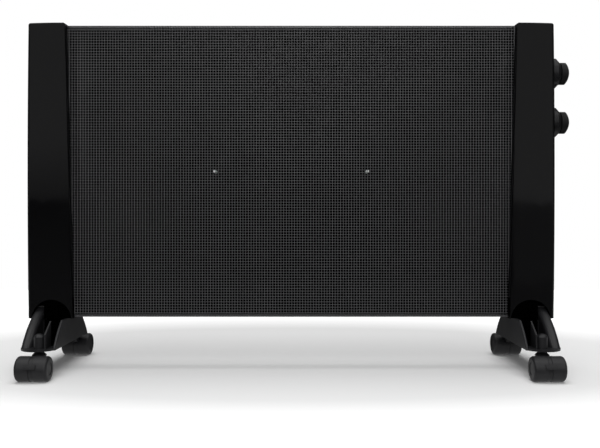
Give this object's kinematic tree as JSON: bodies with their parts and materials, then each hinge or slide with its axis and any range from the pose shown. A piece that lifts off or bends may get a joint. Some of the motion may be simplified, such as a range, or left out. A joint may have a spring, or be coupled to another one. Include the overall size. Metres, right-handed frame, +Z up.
{
  "type": "mica panel heater",
  "caption": "Flat black mica panel heater: perforated steel grilles between gloss moulded end caps, on feet with swivel castors, with rotary power and thermostat knobs.",
  "frame": {"origin": "on the floor, midway between the end caps and between the front and rear grilles", "axes": "+X to the control end, front towards -Y, +Z up"},
  "size_m": [0.8182, 0.2434, 0.5155],
  "materials": {
    "grille_steel": "satin black powder coat on perforated steel",
    "cap_plastic": "gloss black moulding",
    "foot_plastic": "gloss black moulding",
    "castor_plastic": "black nylon moulding",
    "wheel_plastic": "black nylon tread",
    "knob_plastic": "black moulding",
    "collar_plastic": "satin dark grey moulding",
    "frame_steel": "black painted folded steel",
    "bright_steel": "zinc plated",
    "mica_sheet": "pressed mica",
    "heating_foil": "rolled resistance alloy",
    "rivet_aluminium": "bright domed rivet",
    "control_plastic": "moulded phenolic",
    "gland_rubber": "moulded rubber"
  },
  "bodies": {
    "housing": {"board_rivets": "rivet_aluminium", "cap_screws": "bright_steel", "centre_front_mica": "mica_sheet", "centre_heating_foil": "heating_foil", "centre_rear_mica": "mica_sheet", "control_bracket": "frame_steel", "cord_gland": "gland_rubber", "foot_screws": "bright_steel", "front_grille": "grille_steel", "grille_screws": "bright_steel", "left_clamp_strips": "frame_steel", "left_end_cap": "cap_plastic", "left_end_plate": "frame_steel", "left_foot": "foot_plastic", "left_front_mica": "mica_sheet", "left_heating_foil": "heating_foil", "left_rear_mica": "mica_sheet", "lower_rail": "frame_steel", "power_collar": "collar_plastic", "power_switch": "control_plastic", "rear_grille": "grille_steel", "right_clamp_strips": "frame_steel", "right_end_cap": "cap_plastic", "right_end_plate": "frame_steel", "right_foot": "foot_plastic", "right_front_mica": "mica_sheet", "right_heating_foil": "heating_foil", "right_rear_mica": "mica_sheet", "terminal_block": "control_plastic", "thermal_cutout": "bright_steel", "thermostat": "control_plastic", "thermostat_collar": "collar_plastic", "tip_over_switch": "control_plastic", "upper_rail": "frame_steel"},
    "power_control": {"power_knob": "knob_plastic", "power_spindle": "bright_steel"},
    "thermostat_control": {"thermostat_knob": "knob_plastic", "thermostat_spindle": "bright_steel"},
    "front_left_castor_swivel_body": {"front_left_castor_hood": "castor_plastic", "front_left_castor_stem": "bright_steel", "front_left_castor_axle": "bright_steel"},
    "front_left_castor_wheel_left_body": {"front_left_castor_wheel_left": "wheel_plastic"},
    "front_left_castor_wheel_right_body": {"front_left_castor_wheel_right": "wheel_plastic"},
    "front_right_castor_swivel_body": {"front_right_castor_hood": "castor_plastic", "front_right_castor_stem": "bright_steel", "front_right_castor_axle": "bright_steel"},
    "front_right_castor_wheel_left_body": {"front_right_castor_wheel_left": "wheel_plastic"},
    "front_right_castor_wheel_right_body": {"front_right_castor_wheel_right": "wheel_plastic"},
    "rear_left_castor_swivel_body": {"rear_left_castor_hood": "castor_plastic", "rear_left_castor_stem": "bright_steel", "rear_left_castor_axle": "bright_steel"},
    "rear_left_castor_wheel_left_body": {"rear_left_castor_wheel_left": "wheel_plastic"},
    "rear_left_castor_wheel_right_body": {"rear_left_castor_wheel_right": "wheel_plastic"},
    "rear_right_castor_swivel_body": {"rear_right_castor_hood": "castor_plastic", "rear_right_castor_stem": "bright_steel", "rear_right_castor_axle": "bright_steel"},
    "rear_right_castor_wheel_left_body": {"rear_right_castor_wheel_left": "wheel_plastic"},
    "rear_right_castor_wheel_right_body": {"rear_right_castor_wheel_right": "wheel_plastic"}
  },
  "joints": [
    {"name": "power_turn", "type": "hinge", "parent": "housing", "child": "power_control", "pos_m": [0.4067, 0, 0.3705], "axis": [-1, 0, 0], "range_deg": [0, 180]},
    {"name": "thermostat_turn", "type": "hinge", "parent": "housing", "child": "thermostat_control", "pos_m": [0.4067, 0, 0.445], "axis": [-1, 0, 0], "range_deg": [0, 270]},
    {"name": "front_left_castor_swivel", "type": "hinge", "parent": "housing", "child": "front_left_castor_swivel_body", "pos_m": [-0.355, -0.08, 0.039], "axis": [0, 0, 1], "continuous": true},
    {"name": "front_left_castor_wheel_left_spin", "type": "hinge", "parent": "front_left_castor_swivel_body", "child": "front_left_castor_wheel_left_body", "pos_m": [-0.355, -0.1025, 0.0175], "axis": [1, 0, 0], "continuous": true},
    {"name": "front_left_castor_wheel_right_spin", "type": "hinge", "parent": "front_left_castor_swivel_body", "child": "front_left_castor_wheel_right_body", "pos_m": [-0.355, -0.1025, 0.0175], "axis": [1, 0, 0], "continuous": true},
    {"name": "front_right_castor_swivel", "type": "hinge", "parent": "housing", "child": "front_right_castor_swivel_body", "pos_m": [0.355, -0.08, 0.039], "axis": [0, 0, 1], "continuous": true},
    {"name": "front_right_castor_wheel_left_spin", "type": "hinge", "parent": "front_right_castor_swivel_body", "child": "front_right_castor_wheel_left_body", "pos_m": [0.355, -0.1025, 0.0175], "axis": [1, 0, 0], "continuous": true},
    {"name": "front_right_castor_wheel_right_spin", "type": "hinge", "parent": "front_right_castor_swivel_body", "child": "front_right_castor_wheel_right_body", "pos_m": [0.355, -0.1025, 0.0175], "axis": [1, 0, 0], "continuous": true},
    {"name": "rear_left_castor_swivel", "type": "hinge", "parent": "housing", "child": "rear_left_castor_swivel_body", "pos_m": [-0.355, 0.08, 0.039], "axis": [0, 0, 1], "continuous": true},
    {"name": "rear_left_castor_wheel_left_spin", "type": "hinge", "parent": "rear_left_castor_swivel_body", "child": "rear_left_castor_wheel_left_body", "pos_m": [-0.355, 0.1025, 0.0175], "axis": [1, 0, 0], "continuous": true},
    {"name": "rear_left_castor_wheel_right_spin", "type": "hinge", "parent": "rear_left_castor_swivel_body", "child": "rear_left_castor_wheel_right_body", "pos_m": [-0.355, 0.1025, 0.0175], "axis": [1, 0, 0], "continuous": true},
    {"name": "rear_right_castor_swivel", "type": "hinge", "parent": "housing", "child": "rear_right_castor_swivel_body", "pos_m": [0.355, 0.08, 0.039], "axis": [0, 0, 1], "continuous": true},
    {"name": "rear_right_castor_wheel_left_spin", "type": "hinge", "parent": "rear_right_castor_swivel_body", "child": "rear_right_castor_wheel_left_body", "pos_m": [0.355, 0.1025, 0.0175], "axis": [1, 0, 0], "continuous": true},
    {"name": "rear_right_castor_wheel_right_spin", "type": "hinge", "parent": "rear_right_castor_swivel_body", "child": "rear_right_castor_wheel_right_body", "pos_m": [0.355, 0.1025, 0.0175], "axis": [1, 0, 0], "continuous": true}
  ]
}
